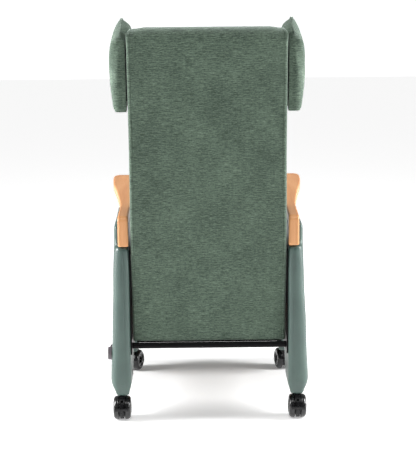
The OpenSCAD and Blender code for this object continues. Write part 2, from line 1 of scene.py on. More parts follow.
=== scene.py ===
import json
import math
import bmesh
import bpy
import numpy as np
from mathutils import Matrix, Vector
from mathutils.bvhtree import BVHTree


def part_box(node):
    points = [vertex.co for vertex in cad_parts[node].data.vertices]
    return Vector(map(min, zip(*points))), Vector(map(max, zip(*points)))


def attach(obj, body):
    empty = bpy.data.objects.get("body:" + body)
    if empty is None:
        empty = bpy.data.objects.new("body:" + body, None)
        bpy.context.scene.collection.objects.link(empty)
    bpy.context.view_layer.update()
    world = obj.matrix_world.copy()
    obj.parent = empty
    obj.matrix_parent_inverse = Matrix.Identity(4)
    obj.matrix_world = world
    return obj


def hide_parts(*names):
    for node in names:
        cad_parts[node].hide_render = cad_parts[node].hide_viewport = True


SIDES = (("left", 1), ("right", -1))
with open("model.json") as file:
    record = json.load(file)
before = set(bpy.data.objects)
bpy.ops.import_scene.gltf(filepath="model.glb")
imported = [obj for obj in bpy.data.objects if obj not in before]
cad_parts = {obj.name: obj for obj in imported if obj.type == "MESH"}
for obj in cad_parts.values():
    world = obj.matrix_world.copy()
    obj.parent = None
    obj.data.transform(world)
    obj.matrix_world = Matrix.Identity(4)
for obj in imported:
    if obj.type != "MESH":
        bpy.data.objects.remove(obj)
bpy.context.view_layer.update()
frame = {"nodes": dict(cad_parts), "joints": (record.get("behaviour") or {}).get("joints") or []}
nodes = frame["nodes"]


scene = bpy.context.scene

# ---- Camera: behind the chair, looking forward and slightly down

camera_data = bpy.data.cameras.new("camera")
camera_data.lens = 92.6
camera_data.sensor_width = 36.0
camera_data.clip_end = 60.0
camera = bpy.data.objects.new("camera", camera_data)
camera.location = (0.029, 3.653, 1.133)
TILT, PAN, ROLL = math.radians(9.24), math.radians(-0.47), math.radians(0.51)
turn = Matrix.Rotation(math.pi + PAN, 4, "Z") @ Matrix.Rotation(math.pi / 2 - TILT, 4, "X")
camera.rotation_euler = (turn @ Matrix.Rotation(-ROLL, 4, "Z")).to_euler()
scene.collection.objects.link(camera)
scene.camera = camera

# ---- Mesh helpers


def mesh_object(name, verts, faces, smooth=True):
    mesh = bpy.data.meshes.new(name)
    mesh.from_pydata([tuple(v) for v in verts], [], [tuple(f) for f in faces])
    mesh.update()
    obj = bpy.data.objects.new(name, mesh)
    scene.collection.objects.link(obj)
    if smooth:
        mesh.polygons.foreach_set("use_smooth", [True] * len(mesh.polygons))
    return obj


def points_of(obj):
    co = np.empty(len(obj.data.vertices) * 3)
    obj.data.vertices.foreach_get("co", co)
    return co.reshape(-1, 3)


def set_points(obj, co):
    obj.data.vertices.foreach_set("co", np.asarray(co, float).ravel())
    obj.data.update()


def normals_of(obj):
    no = np.empty(len(obj.data.vertices) * 3)
    obj.data.vertices.foreach_get("normal", no)
    return no.reshape(-1, 3)


def apply_modifiers(obj):
    depsgraph = bpy.context.evaluated_depsgraph_get()
    new = bpy.data.meshes.new_from_object(obj.evaluated_get(depsgraph))
    old = obj.data
    obj.modifiers.clear()
    obj.data = new
    new.name = old.name
    bpy.data.meshes.remove(old)
    new.polygons.foreach_set("use_smooth", [True] * len(new.polygons))


def loft(name, rings, closed_path=False):
    """Skins equal-length closed rings, with a fan at each open end."""
    n = len(rings[0])
    verts = [p for ring in rings for p in ring]
    faces = []
    last = len(rings) - 1
    for i in range(last + (1 if closed_path else 0)):
        j = (i + 1) % len(rings)
        for k in range(n):
            m = (k + 1) % n
            faces.append((i * n + k, i * n + m, j * n + m, j * n + k))
    if not closed_path:
        for i, flip in ((0, True), (last, False)):
            verts.append(np.mean(rings[i], axis=0))
            centre = len(verts) - 1
            for k in range(n):
                m = (k + 1) % n
                a, b = i * n + k, i * n + m
                faces.append((b, a, centre) if flip else (a, b, centre))
    obj = mesh_object(name, verts, faces)
    fix_normals(obj)
    return obj


def fix_normals(obj):
    bm = bmesh.new()
    bm.from_mesh(obj.data)
    bmesh.ops.recalc_face_normals(bm, faces=bm.faces)
    bm.to_mesh(obj.data)
    bm.free()


def ring_tube(name, path, radius, sides=10):
    """Round tube along a closed path, with a frame that doesn't twist."""
    path = np.asarray(path, float)
    count = len(path)
    rings = []
    side = None
    for i in range(count):
        t = path[(i + 1) % count] - path[i - 1]
        t = t / np.linalg.norm(t)
        if side is None:
            helper = np.array([0.0, 0.0, 1.0]) if abs(t[2]) < 0.9 else np.array([1.0, 0.0, 0.0])
            side = np.cross(t, helper)
        side = side - t * np.dot(side, t)
        side = side / np.linalg.norm(side)
        up = np.cross(side, t)
        angles = np.linspace(0, 2 * math.pi, sides, endpoint=False)
        rings.append(path[i] + radius * (np.outer(np.cos(angles), side) + np.outer(np.sin(angles), up)))
    return loft(name, rings, True)


def resample(path, step, closed=False):
    path = np.asarray(path, float)
    if closed:
        path = np.vstack([path, path[:1]])
    lengths = np.r_[0, np.cumsum(np.linalg.norm(np.diff(path, axis=0), axis=1))]
    count = max(4, int(round(lengths[-1] / step)))
    at = np.linspace(0, lengths[-1], count, endpoint=not closed)
    return np.stack([np.interp(at, lengths, path[:, k]) for k in range(3)], axis=1)


def arc(cx, cy, r, a0, a1, steps=8):
    a = np.radians(np.linspace(a0, a1, steps + 1))
    return [(cx + r * math.cos(t), cy + r * math.sin(t)) for t in a]


def rounded_outline(x0, y0, x1, y1, r, steps=8):
    """Rounded rectangle; r is one radius or one for each corner, from the lower right one on."""
    r = [r] * 4 if np.isscalar(r) else r
    return (arc(x1 - r[0], y0 + r[0], r[0], -90, 0, steps)
            + arc(x1 - r[1], y1 - r[1], r[1], 0, 90, steps)
            + arc(x0 + r[2], y1 - r[2], r[2], 90, 180, steps)
            + arc(x0 + r[3], y0 + r[3], r[3], 180, 270, steps))


def prism(name, outline, low, high, place):
    """Closed prism of an outline (a, b) between two heights; place(h, a, b) gives the point."""
    n = len(outline)
    verts = [place(low, a, b) for a, b in outline] + [place(high, a, b) for a, b in outline]
    faces = [tuple(range(n))[::-1], tuple(range(n, 2 * n))]
    faces += [(k, (k + 1) % n, n + (k + 1) % n, n + k) for k in range(n)]
    obj = mesh_object(name, verts, faces)
    fix_normals(obj)
    return obj


def remesh(obj, voxel):
    modifier = obj.modifiers.new("remesh", "REMESH")
    modifier.mode = "VOXEL"
    modifier.voxel_size = voxel
    modifier.use_smooth_shade = True
    apply_modifiers(obj)


def relax(obj, rounds, factor=0.5):
    """Laplacian smoothing, which rounds the edges of a remeshed solid."""
    mesh = obj.data
    edges = np.empty(len(mesh.edges) * 2, np.int64)
    mesh.edges.foreach_get("vertices", edges)
    a, b = edges[0::2], edges[1::2]
    co = points_of(obj)
    degree = np.bincount(a, minlength=len(co)) + np.bincount(b, minlength=len(co))
    for _ in range(rounds):
        total = np.zeros_like(co)
        for axis in range(3):
            total[:, axis] = (np.bincount(a, co[b, axis], len(co)) + np.bincount(b, co[a, axis], len(co)))
        co += factor * (total / degree[:, None] - co)
    set_points(obj, co)


def subdivide(obj):
    modifier = obj.modifiers.new("subdivision", "SUBSURF")
    modifier.levels = 1
    modifier.render_levels = 1
    apply_modifiers(obj)


CLOTH_FRAMES = 20


def inflate(obj, cap, held=None, pressure=4.0):
    """Fills a padded piece with Blender's cloth. held(points) says how firmly each point is held."""
    start = points_of(obj)
    grip = np.zeros(len(start)) if held is None else np.clip(held(start), 0, 1)
    modifier = obj.modifiers.new("cloth", "CLOTH")
    settings = modifier.settings
    settings.quality = 5
    settings.mass = 0.3
    settings.tension_stiffness = 12
    settings.compression_stiffness = 12
    settings.shear_stiffness = 4
    settings.bending_stiffness = 0.6
    settings.use_pressure = True
    settings.uniform_pressure_force = pressure
    settings.effector_weights.gravity = 0
    modifier.collision_settings.use_collision = False
    modifier.collision_settings.use_self_collision = False
    if grip.any():
        group = obj.vertex_groups.new(name="held")
        for level in np.unique(np.round(grip, 1)):
            if level > 0:
                group.add(np.nonzero(np.round(grip, 1) == level)[0].tolist(), float(level), "REPLACE")
        settings.vertex_group_mass = "held"
    for number in range(1, CLOTH_FRAMES + 1):
        scene.frame_set(number)
    depsgraph = bpy.context.evaluated_depsgraph_get()
    evaluated = obj.evaluated_get(depsgraph)
    co = np.empty(len(start) * 3)
    evaluated.data.vertices.foreach_get("co", co)
    co = co.reshape(-1, 3)
    obj.modifiers.clear()
    scene.frame_set(1)
    move = co - start
    length = np.linalg.norm(move, axis=1, keepdims=True)
    move *= np.minimum(1.0, cap / np.maximum(length, 1e-9))
    set_points(obj, start + move)


def smooth_step(t):
    t = np.clip(t, 0, 1)
    return t * t * (3 - 2 * t)


def ripples(co, size, amount, seed):
    """Smooth random heights of about the given amount, from a few crossing waves."""
    draw = np.random.default_rng(seed)
    total = np.zeros(len(co))
    for _ in range(14):
        direction = draw.normal(size=3)
        direction /= np.linalg.norm(direction)
        wave = 2 * math.pi / (size * draw.uniform(0.6, 1.9))
        total += np.sin(co @ direction * wave + draw.uniform(0, 2 * math.pi))
    return amount * total / 3.7


def merge(name, parts):
    """Joins point and face lists into one mesh object."""
    verts, faces = [], []
    for part_verts, part_faces in parts:
        base = len(verts)
        verts.extend(part_verts)
        faces.extend(tuple(base + k for k in f) for f in part_faces)
    return mesh_object(name, verts, faces)


def capsule(a, b, radius, normal, flat=0.6):
    """One stitch from a to b: a short, slightly flattened thread that dips in at both ends."""
    a, b, normal = np.asarray(a), np.asarray(b), np.asarray(normal)
    t = (b - a) / np.linalg.norm(b - a)
    side = np.cross(t, normal)
    side = side / np.linalg.norm(side)
    up = np.cross(side, t)
    verts, faces = [], []
    steps = ((0.0, 0.15, -0.5), (0.18, 0.8, 0.1), (0.5, 1.0, 0.3), (0.82, 0.8, 0.1), (1.0, 0.15, -0.5))
    sides = 6
    for at, size, lift in steps:
        centre = a + (b - a) * at + up * radius * lift
        for k in range(sides):
            angle = 2 * math.pi * k / sides
            verts.append(centre + radius * size * (math.cos(angle) * side + flat * math.sin(angle) * up))
    for i in range(len(steps) - 1):
        for k in range(sides):
            m = (k + 1) % sides
            faces.append((i * sides + k, i * sides + m, (i + 1) * sides + m, (i + 1) * sides + k))
    faces.append(tuple(range(sides))[::-1])
    faces.append(tuple((len(steps) - 1) * sides + k for k in range(sides)))
    return verts, faces


def stitch_line(name, path, tree, pitch=0.0062, length=0.0042, radius=0.00042):
    """Stitches along an open path, laid on the surface of a BVH tree."""
    points = resample(path, pitch)
    parts = []
    for p, q in zip(points[:-1], points[1:]):
        d = (q - p) / np.linalg.norm(q - p)
        a, b = p + d * (pitch - length) / 2, p + d * (pitch + length) / 2
        hit_a, normal, _, _ = tree.find_nearest(Vector(a))
        hit_b, _, _, _ = tree.find_nearest(Vector(b))
        if hit_a is None or hit_b is None or (hit_a - hit_b).length < 1e-4:
            continue
        parts.append(capsule(hit_a, hit_b, radius, normal))
    return merge(name, parts)


def tree_of(obj):
    bm = bmesh.new()
    bm.from_mesh(obj.data)
    tree = BVHTree.FromBMesh(bm)
    bm.free()
    return tree


def on_surface(path, tree, lift=0.0):
    out = []
    for p in path:
        hit, normal, _, _ = tree.find_nearest(Vector(p))
        out.append(np.array(hit + normal * lift))
    return np.array(out)


def smooth_path(path, rounds, closed=True):
    path = np.array(path)
    for _ in range(rounds):
        if closed:
            path = 0.5 * path + 0.25 * (np.roll(path, 1, 0) + np.roll(path, -1, 0))
        else:
            path[1:-1] = 0.5 * path[1:-1] + 0.25 * (path[:-2] + path[2:])
    return path


# ---- Materials


def lin(r, g, b):
    """Linear colour of an sRGB triple from 0 to 255."""
    out = []
    for c in (r, g, b):
        c /= 255.0
        out.append(c / 12.92 if c <= 0.04045 else ((c + 0.055) / 1.055) ** 2.4)
    return (*out, 1.0)


class Nodes:
    """Short calls for building a node tree."""

    def __init__(self, name):
        self.material = bpy.data.materials.new(name)
        self.material.use_nodes = True
        self.tree = self.material.node_tree
        self.tree.nodes.clear()
        self.out = self.tree.nodes.new("ShaderNodeOutputMaterial")
        self.shader = self.tree.nodes.new("ShaderNodeBsdfPrincipled")
        self.tree.links.new(self.shader.outputs[0], self.out.inputs[0])

    def put(self, socket, value):
        if isinstance(value, bpy.types.NodeSocket):
            self.tree.links.new(value, socket)
        else:
            socket.default_value = value

    def set(self, **values):
        for key, value in values.items():
            self.put(self.shader.inputs[key.replace("_", " ")], value)

    def coords(self, kind="Object"):
        return self.tree.nodes.new("ShaderNodeTexCoord").outputs[kind]

    def attribute(self, name):
        node = self.tree.nodes.new("ShaderNodeAttribute")
        node.attribute_name = name
        return node.outputs["Vector"]

    def math(self, operation, a, b=0.0):
        node = self.tree.nodes.new("ShaderNodeMath")
        node.operation = operation
        for socket, value in zip(node.inputs, (a, b)):
            self.put(socket, value)
        return node.outputs[0]

    def add(self, a, b):
        return self.math("ADD", a, b)

    def mul(self, a, b):
        return self.math("MULTIPLY", a, b)

    def split(self, vector):
        node = self.tree.nodes.new("ShaderNodeSeparateXYZ")
        self.put(node.inputs[0], vector)
        return node.outputs

    def join(self, x, y, z):
        node = self.tree.nodes.new("ShaderNodeCombineXYZ")
        for socket, value in zip(node.inputs, (x, y, z)):
            self.put(socket, value)
        return node.outputs[0]

    def scale(self, vector, by):
        node = self.tree.nodes.new("ShaderNodeVectorMath")
        node.operation = "MULTIPLY"
        self.put(node.inputs[0], vector)
        node.inputs[1].default_value = by
        return node.outputs[0]

    def noise(self, vector, scale=1.0, detail=2.0, rough=0.5):
        node = self.tree.nodes.new("ShaderNodeTexNoise")
        self.put(node.inputs["Vector"], vector)
        node.inputs["Scale"].default_value = scale
        node.inputs["Detail"].default_value = detail
        node.inputs["Roughness"].default_value = rough
        return node.outputs["Fac"]

    def voronoi(self, vector, scale=1.0, feature="F1"):
        node = self.tree.nodes.new("ShaderNodeTexVoronoi")
        node.feature = feature
        self.put(node.inputs["Vector"], vector)
        node.inputs["Scale"].default_value = scale
        return node.outputs["Distance"]

    def range(self, value, a, b, c=0.0, d=1.0):
        node = self.tree.nodes.new("ShaderNodeMapRange")
        self.put(node.inputs[0], value)
        for socket, number in zip(node.inputs[1:5], (a, b, c, d)):
            socket.default_value = number
        return node.outputs[0]

    def ramp(self, value, stops):
        node = self.tree.nodes.new("ShaderNodeValToRGB")
        self.put(node.inputs[0], value)
        elements = node.color_ramp.elements
        while len(elements) < len(stops):
            elements.new(0.5)
        for element, (at, colour) in zip(elements, stops):
            element.position = at
            element.color = colour
        return node.outputs[0]

    def mix(self, factor, a, b):
        node = self.tree.nodes.new("ShaderNodeMix")
        node.data_type = "RGBA"
        self.put(node.inputs[0], factor)
        self.put(node.inputs[6], a)
        self.put(node.inputs[7], b)
        return node.outputs[2]

    def bump(self, height, distance, strength=1.0):
        node = self.tree.nodes.new("ShaderNodeBump")
        node.inputs["Strength"].default_value = strength
        node.inputs["Distance"].default_value = distance
        self.put(node.inputs["Height"], height)
        return node.outputs[0]

    def surface_coords(self):
        """Two coordinates that run along the surface: u sideways, v up or, on flat tops, backwards."""
        x, y, z = self.split(self.coords("Object"))
        nx, _, nz = self.split(self.coords("Normal"))
        side = self.math("GREATER_THAN", self.math("ABSOLUTE", nx), 0.72)
        top = self.math("GREATER_THAN", self.math("ABSOLUTE", nz), 0.72)
        u = self.add(self.mul(x, self.math("SUBTRACT", 1.0, side)), self.mul(y, side))
        v = self.add(self.mul(z, self.math("SUBTRACT", 1.0, top)), self.mul(y, top))
        return u, v


def tweed_material(name, dark, mid, light):
    m = Nodes(name)
    u, v = m.surface_coords()
    yarn = 0.0019
    wander = m.noise(m.join(u, v, 0.0), 60, 2)
    v2 = m.add(v, m.mul(m.math("SUBTRACT", wander, 0.5), 0.0016))
    flat = m.join(u, v2, 0.0)
    # Slubs: short, thick stretches of the weft, lighter or darker than the rest
    slub = m.noise(m.join(m.mul(u, 84), m.mul(v2, 560), 0.0), 1.0, 3, 0.62)
    long_slub = m.noise(m.join(m.mul(u, 30), m.mul(v2, 420), 3.0), 1.0, 2, 0.5)
    fleck = m.noise(m.join(m.mul(u, 210), m.mul(v2, 330), 7.0), 1.0, 2, 0.6)
    cloud = m.noise(flat, 9, 3, 0.55)
    # Over-and-under weave
    weft = m.math("SINE", m.mul(v2, math.pi / yarn))
    warp = m.math("SINE", m.mul(u, math.pi / yarn))
    weave = m.mul(weft, warp)
    height = m.add(m.mul(m.math("ABSOLUTE", weft), 0.55), m.add(m.mul(weave, 0.3), m.mul(slub, 0.9)))
    shade = m.add(m.mul(slub, 0.40), m.mul(long_slub, 0.26))
    shade = m.add(shade, m.mul(fleck, 0.22))
    shade = m.add(shade, m.mul(cloud, 0.12))
    shade = m.add(shade, m.mul(weave, 0.035))
    colour = m.ramp(shade, [(0.40, dark), (0.50, mid), (0.61, light)])
    m.set(Base_Color=colour, Roughness=m.range(height, 0.2, 1.4, 0.95, 0.78),
          Normal=m.bump(height, 0.0006, 0.75))
    m.set(Sheen_Weight=0.45, Sheen_Roughness=0.45, Sheen_Tint=(0.84, 0.96, 0.90, 1.0), Specular_IOR_Level=0.2)
    return m.material


def vinyl_material():
    m = Nodes("vinyl")
    at = m.coords()
    pores = m.voronoi(at, 620, "DISTANCE_TO_EDGE")
    creases = m.noise(at, 240, 4, 0.6)
    broad = m.noise(at, 14, 3, 0.5)
    height = m.add(m.mul(m.range(pores, 0.0, 0.22), 0.6), m.mul(creases, 0.6))
    colour = m.ramp(m.add(m.mul(broad, 0.7), m.mul(creases, 0.3)),
                    [(0.3, lin(54, 73, 68)), (0.55, lin(61, 81, 75)), (0.75, lin(69, 89, 82))])
    m.set(Base_Color=colour, Roughness=m.range(m.add(broad, creases), 0.7, 1.35, 0.30, 0.44),
          Normal=m.bump(height, 0.00022, 0.5))
    m.set(Specular_IOR_Level=0.5, Coat_Weight=0.12, Coat_Roughness=0.32)
    return m.material


def beech_material():
    """Beech with its grain along the first coordinate of the "grain" attribute."""
    m = Nodes("beech")
    s, a, b = m.split(m.attribute("grain"))
    drift = m.noise(m.join(m.mul(s, 3.0), m.mul(a, 10.0), m.mul(b, 10.0)), 1.0, 2)
    across = m.add(m.mul(a, 55.0), m.mul(drift, 2.2))
    lines = m.noise(m.join(m.mul(s, 2.2), across, m.mul(b, 70.0)), 1.0, 5, 0.58)
    fine = m.noise(m.join(m.mul(s, 16.0), m.mul(a, 900.0), m.mul(b, 900.0)), 1.0, 2, 0.6)
    # Short dark ray flecks
    rays = m.noise(m.join(m.mul(s, 240.0), m.mul(a, 1500.0), m.mul(b, 1500.0)), 1.0, 1, 0.4)
    fleck = m.range(rays, 0.66, 0.74, 0.0, 1.0)
    base = m.ramp(lines, [(0.3, lin(184, 124, 76)), (0.5, lin(195, 138, 89)), (0.68, lin(204, 150, 102))])
    toned = m.mix(m.range(fine, 0.35, 0.7, 0.0, 0.35), base, lin(184, 126, 78))
    colour = m.mix(m.mul(fleck, 0.4), toned, lin(150, 98, 62))
    m.set(Base_Color=colour, Roughness=m.range(fine, 0.3, 0.7, 0.34, 0.46),
          Normal=m.bump(m.math("SUBTRACT", fine, m.mul(fleck, 0.6)), 0.0001, 0.35))
    m.set(Coat_Weight=0.25, Coat_Roughness=0.22, Specular_IOR_Level=0.5)
    return m.material


def painted_material(name, colour, rough, grit=900, amount=0.00012, gloss=0.5, coat=0.0):
    """Moulded plastic or powder coat: fine orange peel, small colour and gloss variation."""
    m = Nodes(name)
    at = m.coords()
    peel = m.noise(at, grit, 3, 0.6)
    broad = m.noise(at, 40, 4, 0.6)
    darker = tuple(c * 0.78 for c in colour[:3]) + (1.0,)
    lighter = tuple(min(1.0, c * 1.25 + 0.002) for c in colour[:3]) + (1.0,)
    tone = m.ramp(m.add(m.mul(broad, 0.75), m.mul(peel, 0.25)), [(0.32, darker), (0.68, lighter)])
    m.set(Base_Color=tone, Roughness=m.range(broad, 0.3, 0.7, rough - 0.05, rough + 0.08),
          Normal=m.bump(peel, amount, 0.5))
    m.set(Specular_IOR_Level=gloss, Coat_Weight=coat, Coat_Roughness=0.16)
    return m.material


def brushed_material():
    m = Nodes("zinc_steel")
    at = m.coords()
    streak = m.noise(m.scale(at, (40.0, 900.0, 900.0)), 1.0, 3, 0.6)
    broad = m.noise(at, 60, 3, 0.6)
    tone = m.ramp(broad, [(0.3, lin(150, 152, 156)), (0.7, lin(186, 188, 191))])
    m.set(Base_Color=tone, Roughness=m.range(streak, 0.3, 0.7, 0.26, 0.42),
          Normal=m.bump(streak, 0.00005, 0.4), Metallic=1.0)
    return m.material


def plywood_material():
    m = Nodes("plywood")
    ply = 0.003
    at = m.coords()
    grain = m.noise(m.scale(at, (6.0, 160.0, 90.0)), 1.0, 4, 0.6)
    plies = m.math("SINE", m.mul(m.split(at)[2], 2 * math.pi / ply))
    base = m.ramp(grain, [(0.3, lin(142, 108, 70)), (0.7, lin(166, 134, 94))])
    colour = m.mix(m.range(plies, -1.0, 1.0, 0.0, 0.25), base, lin(140, 100, 62))
    m.set(Base_Color=colour, Roughness=0.6, Normal=m.bump(grain, 0.0002, 0.4))
    return m.material


tweed = tweed_material("tweed", lin(42, 53, 45), lin(71, 86, 74), lin(107, 124, 107))
thread = painted_material("thread", lin(72, 88, 74), 0.7, 3000)
welt = tweed_material("welt", lin(44, 56, 47), lin(70, 85, 73), lin(99, 116, 99))
vinyl = vinyl_material()
beech = beech_material()
black_steel = painted_material("black_steel", lin(8, 8, 9), 0.35, 700, 0.00012, gloss=0.07)
zinc = brushed_material()
plywood = plywood_material()
caster_black = painted_material("caster_plastic", lin(18, 18, 20), 0.28, 1200, 0.0001, gloss=0.3)
wheel_black = painted_material("wheel_plastic", lin(14, 14, 16), 0.2, 1500, 0.00006, gloss=0.4, coat=0.35)
knob_grey = painted_material("knob_plastic", lin(88, 82, 87), 0.4, 1300, 0.0001)
bush_black = painted_material("bush_plastic", lin(24, 24, 26), 0.5, 1000, gloss=0.2)
cable_black = painted_material("cable_sheath", lin(20, 20, 22), 0.45, 1400, gloss=0.2)


def dress(obj, material):
    obj.data.materials.clear()
    obj.data.materials.append(material)
    return obj


def fit(obj, material, body, node=None):
    """Gives a new piece its looks and body, and hides the CAD node it stands for."""
    dress(obj, material)
    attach(obj, body)
    if node:
        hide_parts(node)
    return obj


def as_is(x, y, z):
    return (x, y, z)


# ---- Back frame coordinates: x across, w rearwards from the back's rear face, u up the back

LEAN = math.radians(8)
SHELL = 0.016
shell_low, shell_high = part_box("back_shell")
BACK_Y = shell_low.y + SHELL * math.cos(LEAN)
BACK_Z = shell_low.z
HALF_BACK = shell_high.x
BACK_LEN = (shell_high.z - BACK_Z - SHELL * math.sin(LEAN)) / math.cos(LEAN)


def back_point(x, w, u):
    return (x, BACK_Y + w * math.cos(LEAN) + u * math.sin(LEAN),
            BACK_Z + u * math.cos(LEAN) - w * math.sin(LEAN))


def to_back(co):
    """Back coordinates (x, w, u) of points in the row frame."""
    y, z = co[:, 1] - BACK_Y, co[:, 2] - BACK_Z
    return np.stack([co[:, 0], y * math.cos(LEAN) - z * math.sin(LEAN),
                     y * math.sin(LEAN) + z * math.cos(LEAN)], axis=1)


def from_back(local):
    y = BACK_Y + local[:, 1] * math.cos(LEAN) + local[:, 2] * math.sin(LEAN)
    z = BACK_Z + local[:, 2] * math.cos(LEAN) - local[:, 1] * math.sin(LEAN)
    return np.stack([local[:, 0], y, z], axis=1)


def fall(distance, radius):
    """How far a rounded edge of this radius has dropped at a distance in from the edge."""
    d = np.clip(distance, 0, radius)
    return radius - np.sqrt(np.maximum(radius**2 - (radius - d) ** 2, 0))


# ---- Rear cover of the back: stretched tweed, rounded sides, a roll at the top, a seam beside each edge

SEAM_IN = 0.0105  # how far each seam lies in from the back's side


def rear_cover():
    half = HALF_BACK - 0.0004
    top = BACK_LEN - 0.0005
    roll = 0.040
    edge = 0.009
    fine = np.concatenate([np.linspace(0, 0.016, 26)[:-1], np.linspace(0.016, 0.04, 8)[:-1]])
    xs = np.concatenate([-half + fine, np.linspace(-half + 0.04, half - 0.04, 46), (half - fine)[::-1]])
    low = np.concatenate([np.linspace(0, 0.014, 10)[:-1], np.linspace(0.014, 0.04, 6)[:-1]])
    high = top - np.concatenate([np.linspace(0, 0.044, 22)[:-1], np.linspace(0.044, 0.06, 5)[:-1]])[::-1]
    us = np.concatenate([low, np.linspace(0.04, top - 0.06, 170), high])
    gx, gu = np.meshgrid(xs, us)
    # The rounded corners of the rear view: the outline pulls in at the corners
    corner = 0.017
    from_top, from_low, from_side = top - gu, gu, half - np.abs(gx)
    px = gx * (1 - fall(from_top, corner) / half * smooth_step(1 - from_side / 0.06))
    pull_low = fall(from_low, 0.004)
    px = px * (1 - pull_low / half * smooth_step(1 - from_side / 0.06))
    # A little wider towards the bottom, and lower at the two top corners
    px = px * (1 + 0.0026 / half * smooth_step((0.62 - gu) / 0.30))
    pu = gu - 0.004 * smooth_step(1 - from_side / 0.055) * smooth_step(1 - from_top / 0.06)
    drop = (fall(from_side, edge) ** 3 + fall(from_low, 0.005) ** 3 + fall(from_top, roll) ** 3) ** (1 / 3)
    flat = np.stack([px.ravel(), np.zeros(px.size), pu.ravel()], axis=1)
    wobble = ripples(flat, 0.16, 0.0009, 3) + ripples(flat, 0.05, 0.00025, 4)
    wobble = wobble.reshape(px.shape) * smooth_step(from_side / 0.03) * smooth_step(from_top / 0.05)
    seam = np.exp(-(((from_side - SEAM_IN) / 0.0011) ** 2)) * 0.0013
    # Fabric gathers a little between the stitches
    pucker = np.exp(-(((from_side - SEAM_IN - 0.004) / 0.005) ** 2)) * 0.00035
    pucker = pucker * (1 + np.sin(pu * 2 * math.pi / 0.0125) + 0.6 * np.sin(pu * 2 * math.pi / 0.031 + 1.0))
    w_rear = -drop - 0.0012 - seam - pucker + wobble
    front_depth = -SHELL + 0.0003 - 0.030 * smooth_step((pu - (BACK_LEN - 0.058)) / 0.008)
    w_front = np.minimum(front_depth, w_rear - 0.0008)
    rows, cols = px.shape
    verts, faces = [], []
    for w in (w_rear, w_front):
        for i in range(rows):
            for j in range(cols):
                verts.append(back_point(px[i, j], w[i, j], pu[i, j]))
    base = rows * cols
    for i in range(rows - 1):
        for j in range(cols - 1):
            a, b, c, d = i * cols + j, i * cols + j + 1, (i + 1) * cols + j + 1, (i + 1) * cols + j
            faces.append((a, b, c, d))
            faces.append((base + d, base + c, base + b, base + a))
    rim = (list(range(cols)) + [i * cols + cols - 1 for i in range(1, rows)]
           + [(rows - 1) * cols + j for j in range(cols - 2, -1, -1)]
           + [i * cols for i in range(rows - 2, 0, -1)])
    for k in range(len(rim)):
        a, b = rim[k], rim[(k + 1) % len(rim)]
        faces.append((b, a, base + a, base + b))
    obj = mesh_object("back_rear_cover", verts, faces)
    fix_normals(obj)
    return obj


back_cover = fit(rear_cover(), tweed, "back", "back_shell")
cover_tree = tree_of(back_cover)
for side_name, sign in SIDES:
    x = sign * (HALF_BACK - SEAM_IN)
    path = [back_point(x, 0.0, u) for u in np.linspace(0.012, BACK_LEN - 0.012, 160)]
    fit(stitch_line(f"back_stitching_{side_name}", path, cover_tree), thread, "back")

# ---- Front cushion of the back: crowned, with a boxed edge, piping and two sewn channels


def groove(co, normal, distance, depth, width):
    """Moves points inwards along a seam, by their distance from it."""
    return co - normal * (depth * np.exp(-((distance / width) ** 2)))[:, None]


# Each channel's height up the back and depth
CHANNELS = ((0.415, 0.013), (0.672, 0.015))


def channel(near, wide, narrow, share):
    """Cross-section of a sewn channel: a wide dip with a sharp one in its middle."""
    return share * np.exp(-((near / wide) ** 2)) + (1 - share) * np.exp(-((near / narrow) ** 2))


def back_cushion():
    local = to_back(points_of(nodes["back_cushion"]))
    half = local[:, 0].max() - 0.006
    front, rear = local[:, 1].min() + 0.012, -SHELL - 0.0265
    bottom, top = local[:, 2].min() + 0.006, local[:, 2].max() - 0.028
    outline = rounded_outline(front, bottom, rear, top, [0.004, 0.012, 0.050, 0.034])
    obj = prism("back_front_cushion", outline, -half, half, back_point)
    remesh(obj, 0.0072)
    relax(obj, 5)

    def held(co):
        at = to_back(co)
        return smooth_step((at[:, 1] - (rear - 0.006)) / 0.005)

    inflate(obj, 0.016, held)
    relax(obj, 2)
    subdivide(obj)
    co = points_of(obj)
    at = to_back(co)
    at[:, 1] = np.minimum(at[:, 1], -SHELL - 0.0262)
    at[:, 0] = np.clip(at[:, 0], -HALF_BACK, HALF_BACK)
    # Narrower beside the wings' pads, and its top stays below the rear cover's roll
    at[:, 0] *= 1 - 0.045 * smooth_step((at[:, 2] - 0.70) / 0.14)
    ceiling = BACK_LEN - 0.016 + 0.14 * (at[:, 1] + 0.04)
    over = at[:, 2] - ceiling
    at[:, 2] -= np.maximum(over, 0) * 0.97
    co = from_back(at)
    normal = normals_of(obj)
    on_front = smooth_step((-at[:, 1] - 0.06) / 0.03)
    for level, depth in CHANNELS:
        dip = channel(np.abs(at[:, 2] - level), 0.022, 0.006, 0.62)
        co = co - normal * (on_front * depth * dip)[:, None]
    fade = smooth_step((-at[:, 1] - 0.05) / 0.03)
    co = co + normal * (ripples(at, 0.13, 0.0013, 11) * fade)[:, None]
    set_points(obj, co)
    return obj, (front, rear, bottom, top, half)


cushion, cushion_size = back_cushion()
fit(cushion, tweed, "back", "back_cushion")


def piping(name, obj, path, body, radius=0.0034, rounds=10, lift=0.0008):
    """Closed welt cord laid on a piece along a rough path."""
    path = smooth_path(on_surface(resample(path, 0.008, True), tree_of(obj), lift), rounds)
    fit(ring_tube(name, path, radius), welt, body)


def back_loop(half, w, bottom, top):
    outline = rounded_outline(-half, bottom, half, top, 0.03, 10)
    return [back_point(x, w, u) for x, u in outline]


front, rear, bottom, top, half = cushion_size
for name, w in (("back_piping_front", front + 0.018), ("back_piping_rear", rear - 0.008)):
    piping(name, cushion, back_loop(half + 0.02, w, bottom - 0.02, top + 0.02), "back")

# ---- Wings: ear-shaped pads beside the head, domed on top and cut off flat at the bottom


